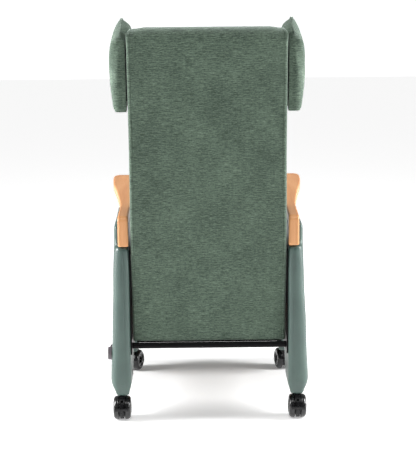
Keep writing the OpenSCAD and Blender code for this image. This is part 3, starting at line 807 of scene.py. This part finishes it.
def outline_field(points, outline):
    """Distance of flat points from a closed outline, with the outward direction of its nearest stretch."""
    a = np.array(outline)
    d = np.roll(a, -1, 0) - a
    size = np.maximum((d**2).sum(axis=1), 1e-12)
    best = np.full(len(points), 1e9)
    facing = np.zeros((len(points), 2))
    for k in range(len(a)):
        t = np.clip(((points - a[k]) @ d[k]) / size[k], 0, 1)
        gap = np.linalg.norm(points - a[k] - t[:, None] * d[k], axis=1)
        near = gap < best
        best[near] = gap[near]
        facing[near] = np.array([d[k][1], -d[k][0]]) / math.sqrt(size[k])
    return best, facing


WING_SEAM = 0.046  # how far the seam of the dome's cap lies below the top


def wing_pad(side_name, sign):
    name = f"wing_{side_name}"
    local = to_back(points_of(nodes[name]))
    inner, outer = np.abs(local[:, 0]).min(), np.abs(local[:, 0]).max()
    w0, w1, u0, u1 = local[:, 1].min(), local[:, 1].max(), local[:, 2].min(), local[:, 2].max()
    # Side view: flat bottom, straight rear edge, a top that climbs forwards, round front
    outline = (arc(w1 - 0.008, u0 + 0.008, 0.008, -90, 0)
               + arc(w1 - 0.024, u1 - 0.060, 0.024, 0, 66)
               + arc(w0 + 0.070, u1 - 0.070, 0.070, 76, 180, 16)
               + arc(w0 + 0.060, u0 + 0.060, 0.060, 180, 270, 12))
    obj = prism(f"wing_pad_{side_name}", outline, sign * inner, sign * outer, back_point)
    remesh(obj, 0.0045)
    at = to_back(points_of(obj))
    share = np.clip((np.abs(at[:, 0]) - inner) / (outer - inner), 0, 1)
    depth = np.clip(u1 - at[:, 2], 0, 1)
    # Outer face: widest below the dome, a little narrower at the bottom; 3 mm is left for the filling
    x_out = outer - 0.003 + np.interp(depth, [0, 0.02, 0.04, 0.06, 0.10, 0.16, 0.20, 0.252],
                                      [-0.0125, -0.008, -0.0025, 0.0005, 0.002, 0.0015, -0.0005, -0.0055])
    # Inner face: beside the back it is flat; in front of it the dome leans in over the back's corner
    ahead = smooth_step((-at[:, 1] - 0.048) / 0.026)
    x_in = inner + 0.0002 + ahead * (0.004 - 0.0175 * smooth_step(depth / 0.032)
                                     + 0.0135 * smooth_step((depth - 0.06) / 0.10))
    gap, facing = outline_field(at[:, 1:], outline)
    rear, front = np.maximum(facing[:, 0], 0) ** 2, np.maximum(-facing[:, 0], 0) ** 2
    top, low = np.maximum(facing[:, 1], 0) ** 2, np.maximum(-facing[:, 1], 0) ** 2
    x_out = x_out - fall(gap, 0.013 * rear + 0.021 * front + 0.027 * top + 0.004 * low)
    x_in = x_in + fall(gap, 0.001 * rear + 0.015 * front + 0.018 * top + 0.001 * low)
    at[:, 0] = sign * (x_in + share * (x_out - x_in))
    set_points(obj, from_back(at))
    relax(obj, 3, 0.4)

    def held(co):
        at = to_back(co)
        beside = smooth_step((inner + 0.014 - np.abs(at[:, 0])) / 0.008)
        flat_end = smooth_step((u0 + 0.010 - at[:, 2]) / 0.008)
        return np.maximum(beside, flat_end)

    inflate(obj, 0.0042, held)
    relax(obj, 1)
    subdivide(obj)
    co = points_of(obj)
    at = to_back(co)
    normal = normals_of(obj)
    # Seam where the dome's cap meets the rear strip, and one just above the flat bottom
    behind = smooth_step((at[:, 1] - w1 + 0.060) / 0.03)
    seam = np.abs(at[:, 2] - (u1 - WING_SEAM)) + 0.02 * (1 - behind)
    co = groove(co, normal, seam, 0.0017, 0.0022)
    co = groove(co, normal, np.abs(at[:, 2] - u0 - 0.006), 0.0012, 0.002)
    share = (np.abs(at[:, 0]) - inner) / (outer - inner)
    co = co + normal * (ripples(at, 0.06, 0.0006, 21) * smooth_step(share * 3))[:, None]
    at = to_back(co)
    # Flat and close against the back's side
    beside = smooth_step((at[:, 1] + 0.052) / 0.01)
    x = np.abs(at[:, 0])
    x = x - 0.0034 * beside * smooth_step((inner + 0.014 - x) / 0.012)
    at[:, 0] = sign * np.where(beside > 0.5, np.maximum(x, inner - 0.0008), x)
    set_points(obj, from_back(at))
    fit(obj, tweed, "back", name)
    return obj, (inner, outer, w1, u1)


for side_name, sign in SIDES:
    pad, (inner, outer, w1, u1) = wing_pad(side_name, sign)
    tree = tree_of(pad)
    level = u1 - WING_SEAM + 0.0035
    loop = [back_point(sign * x, w1 + 0.002, level) for x in np.linspace(inner + 0.004, outer - 0.012, 12)]
    loop += [back_point(sign * (outer + 0.004), w, level) for w in np.linspace(w1 - 0.010, w1 - 0.050, 8)]
    path = smooth_path(on_surface(resample(loop, 0.006), tree), 4, False)
    fit(stitch_line(f"wing_stitching_{side_name}", path, tree), thread, "back")

# ---- Seat cushion: boxed, crowned, with a rolled front edge and piping round the top


def seat_pad():
    low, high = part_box("seat_cushion")
    inset = 0.006
    outline = rounded_outline(low.y + inset, low.z + 0.001, high.y - 0.002, high.z - 0.022,
                              [0.006, 0.012, 0.036, 0.012])
    obj = prism("seat_pad", outline, low.x + inset, high.x - inset, as_is)
    remesh(obj, 0.0072)
    relax(obj, 5)

    def held(co):
        return smooth_step((low.z + 0.006 - co[:, 2]) / 0.004)

    inflate(obj, 0.024, held)
    relax(obj, 2)
    subdivide(obj)
    co = points_of(obj)
    normal = normals_of(obj)
    co[:, 0] = np.clip(co[:, 0], low.x + 0.0005, high.x - 0.0005)
    co[:, 1] = np.clip(co[:, 1], low.y - 0.004, high.y + 0.001)
    co[:, 2] = np.clip(co[:, 2], low.z + 0.0003, high.z + 0.004)
    # The crown settles a little where a sitter has been
    dip = np.exp(-((co[:, 0] / 0.15) ** 2) - (((co[:, 1] + 0.10) / 0.15) ** 2))
    co[:, 2] -= 0.006 * dip * smooth_step((co[:, 2] - low.z - 0.08) / 0.02)
    above = smooth_step((co[:, 2] - low.z - 0.02) / 0.03)
    co = co + normal * (ripples(co, 0.12, 0.0012, 31) * above)[:, None]
    co[:, 0] = np.clip(co[:, 0], low.x + 0.0005, high.x - 0.0005)
    set_points(obj, co)
    return obj, low, high


seat, seat_low, seat_high = seat_pad()
fit(seat, tweed, "base", "seat_cushion")
around = rounded_outline(seat_low.x - 0.004, seat_low.y - 0.02,
                         seat_high.x + 0.004, seat_high.y + 0.02, 0.03, 10)
for name, z in (("seat_piping_top", seat_high.z - 0.030), ("seat_piping_bottom", seat_low.z + 0.010)):
    piping(name, seat, [(x, y, z) for x, y in around], "base", lift=0.0003, rounds=6)

# ---- Legrest pad


def legrest_pad():
    low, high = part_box("legrest_cushion")
    face_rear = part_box("legrest_board")[0].y - 0.0006
    outline = rounded_outline(low.y + 0.008, low.z + 0.005, face_rear, high.z - 0.005,
                              [0.004, 0.004, 0.018, 0.018])
    obj = prism("legrest_pad", outline, low.x + 0.005, high.x - 0.005, as_is)
    remesh(obj, 0.0055)
    relax(obj, 4)

    def held(co):
        return smooth_step((co[:, 1] - (face_rear - 0.006)) / 0.004)

    inflate(obj, 0.012, held)
    relax(obj, 2)
    subdivide(obj)
    co = points_of(obj)
    normal = normals_of(obj)
    co[:, 1] = np.clip(co[:, 1], low.y - 0.006, face_rear)
    level = (low.z + high.z) / 2
    front = smooth_step((face_rear - 0.02 - co[:, 1]) / 0.012)
    dip = channel(np.abs(co[:, 2] - level), 0.014, 0.004, 0.6)
    co = co - normal * (front * 0.006 * dip)[:, None]
    co = co + normal * (ripples(co, 0.1, 0.0008, 41) * front)[:, None]
    set_points(obj, co)
    return obj, low, high, face_rear


legrest, rest_low, rest_high, rest_rear = legrest_pad()
fit(legrest, tweed, "legrest", "legrest_cushion")
around = rounded_outline(rest_low.x - 0.01, rest_low.z - 0.02,
                         rest_high.x + 0.01, rest_high.z + 0.02, 0.03, 10)
piping("legrest_piping", legrest, [(x, rest_rear - 0.012, z) for x, z in around], "legrest", rounds=6)

# ---- Side panels: vinyl over padding, with a rolled rear edge and a flared foot

ARM_SLOPE = math.radians(5.8)
ARM_CORNER = 0.016  # radius of the corner where the arm turns down
ARM_THICK = 0.030


def side_panel(side_name, sign):
    name = f"side_panel_{side_name}"
    low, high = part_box(name)
    arm_low, arm_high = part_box(f"arm_{side_name}")
    inner = min(abs(low.x), abs(high.x))
    outer = max(abs(low.x), abs(high.x))
    foot = low.z
    back, front = high.y, low.y
    arch = 0.190
    arch_front, arch_rear = front + 0.176, 0.096
    arm_end = arm_low.z
    arm_front, arm_top = arm_low.y, arm_high.z
    g = 0.001  # clearance to the wood and inside the CAD panel

    def under_arm(y):
        return arm_top - math.tan(ARM_SLOPE) * (y - arm_front) - (ARM_THICK + g) / math.cos(ARM_SLOPE)

    outline = [(front + 0.014, foot), (front + 0.118, foot),
               (arch_front - 0.02, arch - 0.035), (arch_front + 0.02, arch),
               (arch_rear - 0.02, arch), (arch_rear + 0.018, arch - 0.03),
               (0.150, foot + 0.02), (0.162, foot), (back - 0.014, foot),
               (back - g, foot + 0.04), (back - g, arm_end - g), (back - ARM_THICK - g, arm_end - g),
               (back - ARM_THICK - g, under_arm(back - ARM_THICK) - g),
               (arm_front + 0.004, under_arm(arm_front)),
               (front + g, under_arm(arm_front) - 0.029), (front + g, foot + 0.04)]
    depth = 0.044
    obj = prism(f"panel_cover_{side_name}", outline, 0.0, depth, as_is)
    remesh(obj, 0.0058)
    relax(obj, 8)
    subdivide(obj)
    co = points_of(obj)
    z = co[:, 2]
    # The foot narrows in an S-curve; above 0.16 m the outer face leans in towards the arm
    above_foot = (0, 0.007, 0.013, 0.020, 0.028, 0.038, 0.052)
    heights = [foot + rise for rise in above_foot] + [0.160]
    in_cut = [0.0062, 0.0062, 0.0056, 0.0040, 0.0018, 0.0, -0.0008, 0.0]
    out_cut = [0.0096, 0.0096, 0.0088, 0.0066, 0.0034, 0.0004, -0.0012, 0.0]
    x_in = inner + np.interp(z, heights, in_cut)
    x_out = outer - np.interp(z, heights + [0.520, 0.560, 0.700], out_cut + [0.014, 0.0145, 0.0145])
    share = np.clip(co[:, 0] / depth, 0, 1)
    # The rear and front edges are rolls, rounder on the outer side
    rear_gap, front_gap = back - co[:, 1], co[:, 1] - front
    upper = smooth_step((z - foot - 0.02) / 0.05)
    x_out = x_out - (0.35 + 0.65 * upper) * (fall(rear_gap, 0.024) + fall(front_gap, 0.024))
    x_in = x_in + (0.35 + 0.65 * upper) * (fall(rear_gap, 0.015) + 0.8 * fall(front_gap, 0.015))
    # Padding: the outer face swells a little away from the edges
    edge = np.minimum(rear_gap, front_gap)
    swell = 0.0016 * smooth_step(edge / 0.05) * smooth_step((z - foot) / 0.05)
    x = x_in + share * (x_out - x_in) + swell * (share > 0.5)
    co[:, 0] = sign * np.clip(x, inner + 0.0003, None)
    set_points(obj, co)
    relax(obj, 3)
    fix_normals(obj)
    co = points_of(obj)
    normal = normals_of(obj)
    outside = smooth_step((np.abs(co[:, 0]) - inner - 0.012) / 0.02)
    co = co + normal * (ripples(co, 0.15, 0.0007, 51 + (sign > 0)) * outside)[:, None]
    # Seam down the rear roll, where the inner cover meets the outer one
    on_rear = smooth_step((co[:, 1] - back + 0.02) / 0.01)
    seam = np.abs(np.abs(co[:, 0]) - (inner + 0.0165)) + 0.05 * (1 - on_rear)
    co = groove(co, normal, seam, 0.0012, 0.0016)
    set_points(obj, co)
    fit(obj, vinyl, "base", name)


for side_name, sign in SIDES:
    side_panel(side_name, sign)

# ---- Arms: solid beech, flared at the front and turned down at the rear


def arm(side_name, sign):
    name = f"arm_{side_name}"
    low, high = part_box(name)
    inner, outer = min(abs(low.x), abs(high.x)), max(abs(low.x), abs(high.x))
    thick = ARM_THICK
    front, top, back, end = low.y, high.z, high.y, low.z
    up = np.array([math.sin(ARM_SLOPE), math.cos(ARM_SLOPE)])
    along = np.array([math.cos(ARM_SLOPE), -math.sin(ARM_SLOPE)])
    start = np.array([front + 0.0009, top])
    # Centres of the corner's outer and inner rounding, under the sloping top
    outer_r, inner_r = ARM_CORNER, 0.005
    outer_c = np.array([back - outer_r, 0.0])
    outer_c[1] = top - math.tan(ARM_SLOPE) * (outer_c[0] - front) - outer_r / math.cos(ARM_SLOPE)
    inner_c = np.array([back - thick - inner_r, 0.0])
    inner_c[1] = top - math.tan(ARM_SLOPE) * (inner_c[0] - front) - (thick + inner_r) / math.cos(ARM_SLOPE)
    turn_top = outer_c + outer_r * up
    run = np.dot(turn_top - start, along)
    sweep = math.radians(90) - ARM_SLOPE
    bend_len = sweep * 0.026
    drop = outer_c[1] - end
    total = run + bend_len + drop
    tip = np.concatenate([np.linspace(0, 0.012, 9)[:-1], np.linspace(0.012, 0.034, 9)[:-1]])
    bend_at = run + bend_len * np.linspace(0, 1, 14)
    tail = total - np.concatenate([np.linspace(0, 0.005, 6)[:-1], np.linspace(0.005, 0.02, 4)[:-1]])[::-1]
    stations = np.concatenate([tip, np.linspace(0.034, run - 0.002, 80), bend_at,
                               np.linspace(run + bend_len + 0.003, total - 0.02, 8), tail])
    plan_y = np.array([-0.30, -0.235, -0.172, -0.125, -0.065, 0.025, 0.080, 0.130, 0.30])
    plan_x = outer - np.array([0.0, 0.0, 0.0050, 0.0120, 0.0220, 0.0340, 0.0410, 0.0458, 0.0460])
    fine_y = np.linspace(-0.30, 0.30, 241)
    fine_x = np.interp(fine_y, plan_y, plan_x)
    for _ in range(60):
        fine_x[1:-1] = (fine_x[:-2] + 2 * fine_x[1:-1] + fine_x[2:]) / 4
    rings, grain = [], []
    for s in stations:
        if s < run:
            above = start + along * s
            under = above - up * thick
            # Past the inner corner the underside stops, and the sections fan out
            if under[0] >= inner_c[0] + inner_r * up[0]:
                under = inner_c + inner_r * up
        elif s <= run + bend_len:
            a = sweep * (1 - (s - run) / bend_len)
            ray = np.array([math.cos(a), math.sin(a)])
            above, under = outer_c + outer_r * ray, inner_c + inner_r * ray
        else:
            z = outer_c[1] - (s - run - bend_len)
            above, under = np.array([back, z]), np.array([back - thick, min(z, inner_c[1])])
        middle, across = (above + under) / 2, above - under
        half_t = np.linalg.norm(across) / 2
        across = across / np.linalg.norm(across)
        wide = np.interp(middle[0] if s < run else back, fine_y, fine_x)
        narrow = inner + 0.0003
        # Rounded corners of the plan at the front
        wide -= fall(s, 0.028)
        narrow += fall(s, 0.022)
        end_cut = 0.5 * fall(total - s, 0.003)
        half_t -= fall(s, 0.006) + end_cut
        wide -= end_cut
        narrow += end_cut
        half_w, centre_x = (wide - narrow) / 2, (wide + narrow) / 2
        radius = min(0.0055, half_t * 0.95, half_w * 0.95)
        outline = np.array(rounded_outline(-half_w, -half_t, half_w, half_t, radius, 9))
        rings.append(np.stack([sign * (centre_x + outline[:, 0]), middle[0] + across[0] * outline[:, 1],
                               middle[1] + across[1] * outline[:, 1]], axis=1))
        grain.extend([(s, centre_x + o[0], o[1]) for o in outline])
    obj = loft(f"arm_wood_{side_name}", rings)
    grain.append((0.0, (inner + outer) / 2, 0.0))
    grain.append((total, (inner + outer) / 2, 0.0))
    layer = obj.data.attributes.new("grain", "FLOAT_VECTOR", "POINT")
    layer.data.foreach_set("vector", np.array(grain, np.float32).ravel())
    fit(obj, beech, "base", name)


for side_name, sign in SIDES:
    arm(side_name, sign)

# ---- Casters


def lathe(name, profile, place, axis, steps=64):
    """Turns a closed profile of (radius, along) about a level axis."""
    level = np.cross(axis, [0.0, 0.0, 1.0])
    rings = []
    for a in np.linspace(0, 2 * math.pi, steps, endpoint=False):
        spoke = np.array([0.0, 0.0, math.cos(a)]) + level * math.sin(a)
        rings.append([place + axis * x + spoke * r for r, x in profile])
    return loft(name, rings, True)


def caster_wheel(node, body):
    """Barrel-shaped half of a twin wheel: round outer shoulder, dished hub and a thin parting line."""
    spin = next(joint for joint in frame["joints"] if joint["child"] == body)
    axle, axis = np.array(spin["pos_m"]), np.array(spin["axis"], float)
    along = (points_of(nodes[node]) - axle) @ axis
    if abs(along.min()) > abs(along.max()):
        axis, along = -axis, -along
    radius = axle[2]
    wide = along.max() - along.min()
    shoulder, lip, hub = 0.0105, radius - 0.0125, 0.0085
    profile = [(hub, 0.0), (radius - 0.004, 0.0), (radius - 0.0012, 0.0008), (radius, 0.0028),
               (radius, 0.0050), (radius - 0.0005, 0.0054), (radius, 0.0058)]
    profile += [(radius - 0.0006 * t, 0.0058 + (wide - shoulder - 0.0058) * t) for t in (0.5, 1.0)]
    profile += [(radius - 0.0006 - shoulder * (1 - math.cos(t)), wide - shoulder + shoulder * math.sin(t))
                for t in np.linspace(0.12, math.pi / 2, 10)]
    profile += [(lip - 0.001, wide), (lip - 0.003, wide - 0.0012), (lip - 0.005, wide - 0.0034),
                (0.012, wide - 0.0042), (0.0112, wide - 0.003), (0.0085, wide - 0.0016), (hub, wide - 0.0016)]
    obj = lathe(f"{body}_shell", profile, axle + axis * along.min(), axis)
    fit(obj, wheel_black, body, node)
    return axle


def brake_tongue(name, body, axle):
    """Tongue under the brake bar, between the two wheels, with a blunt toe near the floor."""
    # Each section's angle below level, half width, and inner and outer radius about the axle
    sections = ((-3, 0.0060, 0.0325, 0.0392), (-8, 0.0074, 0.0318, 0.0398), (-18, 0.0070, 0.0312, 0.0388),
                (-30, 0.0058, 0.0308, 0.0368), (-40, 0.0056, 0.0306, 0.0362), (-47, 0.0062, 0.0306, 0.0366),
                (-53, 0.0058, 0.0308, 0.0360), (-55, 0.0046, 0.0316, 0.0350))
    rings = []
    for angle, half, r0, r1 in sections:
        out = np.array([0.0, math.cos(math.radians(angle)), math.sin(math.radians(angle))])
        ring = rounded_outline(-half, r0, half, r1, 0.0012, 4)
        rings.append([axle + np.array([x, 0.0, 0.0]) + out * r for x, r in ring])
    fit(loft(name, rings), caster_black, body)


for stem in ("caster_rear_left", "caster_rear_right", "caster_front_left", "caster_front_right"):
    for part in ("outer", "inner"):
        axle = caster_wheel(f"{stem}_wheel_{part}", f"{stem}_{part}_wheel")
    if "rear" in stem:
        brake_tongue(f"{stem}_brake_tongue", f"{stem}_brake", axle)

# ---- Carried-over CAD nodes

LOOKS = {
    "black_steel": (black_steel, 0.0008), "zinc": (zinc, 0.0004), "plywood": (plywood, 0.0006),
    "caster": (caster_black, 0.0009), "wheel": (wheel_black, 0.0006), "bush": (bush_black, 0.0004),
    "knob": (knob_grey, 0.0012), "cable": (cable_black, 0.0),
}


def look_of(name):
    if name.startswith("caster_"):
        for key, look in (("_wheel", "wheel"), ("_stem", "zinc"), ("_axle", "zinc")):
            if key in name:
                return look
        return "caster"
    if name.endswith(("_screws", "_pins")) or name in ("gas_spring_rod", "release_spindle", "valve_lever"):
        return "zinc"
    if name.endswith(("_deck", "_board")):
        return "plywood"
    if name in ("pivot_bushes", "legrest_friction_discs"):
        return "bush"
    if name == "release_knob":
        return "knob"
    if name == "release_cable":
        return "cable"
    return "black_steel"


for name, obj in nodes.items():
    material, bevel = LOOKS[look_of(name)]
    dress(obj, material)
    for attribute in [a.name for a in obj.data.attributes if a.name == "custom_normal"]:
        obj.data.attributes.remove(obj.data.attributes[attribute])
    obj.data.polygons.foreach_set("use_smooth", [True] * len(obj.data.polygons))
    weld = obj.modifiers.new("weld", "WELD")
    weld.merge_threshold = 0.00001
    if bevel:
        modifier = obj.modifiers.new("bevel", "BEVEL")
        modifier.width = bevel
        modifier.segments = 2
        modifier.limit_method = "ANGLE"
        modifier.angle_limit = math.radians(38)
        modifier.use_clamp_overlap = True
    normal = obj.modifiers.new("normals", "WEIGHTED_NORMAL")
    normal.keep_sharp = True

# ---- Floor and light

FLOOR = 30.0
floor_corners = [(-FLOOR, -FLOOR, 0), (FLOOR, -FLOOR, 0), (FLOOR, FLOOR, 0), (-FLOOR, FLOOR, 0)]
floor = mesh_object("floor", floor_corners, [(0, 1, 2, 3)], False)
m = Nodes("floor")
m.set(Base_Color=(0.80, 0.80, 0.80, 1.0), Roughness=0.7, Specular_IOR_Level=0.2)
x, y, _ = m.split(m.coords())
# The floor glows less under the chair, which stands for its soft shadow
y = m.add(y, 0.36)
away = m.math("SQRT", m.add(m.mul(x, x), m.mul(y, y)))
m.set(Emission_Color=(1.0, 1.0, 1.0, 1.0), Emission_Strength=m.range(away, 0.22, 1.05, 0.22, 1.75))
dress(floor, m.material)

world = bpy.data.worlds.new("world")
scene.world = world
world.use_nodes = True
tree = world.node_tree
tree.nodes.clear()
output = tree.nodes.new("ShaderNodeOutputWorld")
plain = tree.nodes.new("ShaderNodeBackground")
plain.inputs[0].default_value = (1, 1, 1, 1)
plain.inputs[1].default_value = 3.0
studio = tree.nodes.new("ShaderNodeBackground")
studio.inputs[0].default_value = (1, 1, 1, 1)
coords = tree.nodes.new("ShaderNodeTexCoord")
parts = tree.nodes.new("ShaderNodeSeparateXYZ")
tree.links.new(coords.outputs["Generated"], parts.inputs[0])
fade = tree.nodes.new("ShaderNodeMapRange")
tree.links.new(parts.outputs["Y"], fade.inputs[0])
for socket, value in zip(fade.inputs[1:5], (-0.6, 0.9, 0.8, 0.22)):
    socket.default_value = value
tree.links.new(fade.outputs[0], studio.inputs[1])
path = tree.nodes.new("ShaderNodeLightPath")
choose = tree.nodes.new("ShaderNodeMixShader")
tree.links.new(path.outputs["Is Camera Ray"], choose.inputs[0])
tree.links.new(studio.outputs[0], choose.inputs[1])
tree.links.new(plain.outputs[0], choose.inputs[2])
tree.links.new(choose.outputs[0], output.inputs[0])


def area_light(name, at, aim, size, power):
    light = bpy.data.lights.new(name, "AREA")
    light.shape = "RECTANGLE"
    light.size, light.size_y = size
    light.energy = power
    obj = bpy.data.objects.new(name, light)
    obj.location = at
    obj.rotation_euler = (Vector(aim) - Vector(at)).to_track_quat("-Z", "Y").to_euler()
    scene.collection.objects.link(obj)


for name, at, aim, size, power in (
    ("side_light_left", (2.6, 0.3, 1.5), (0, 0, 0.8), (1.0, 2.0), 400),
    ("side_light_right", (-2.6, 0.3, 1.5), (0, 0, 0.8), (1.0, 2.0), 370),
    ("strip_left", (1.9, 2.9, 1.3), (0.2, 0.2, 0.5), (0.3, 2.0), 5),
    ("strip_right", (-1.9, 2.9, 1.3), (-0.2, 0.2, 0.5), (0.3, 2.0), 5),
    ("top_light", (0, 1.9, 3.2), (0, 0.1, 0.5), (2.2, 1.0), 60),
):
    area_light(name, at, aim, size, power)

scene.view_settings.view_transform = "Standard"
scene.view_settings.look = "None"
scene.view_settings.exposure = -1.25
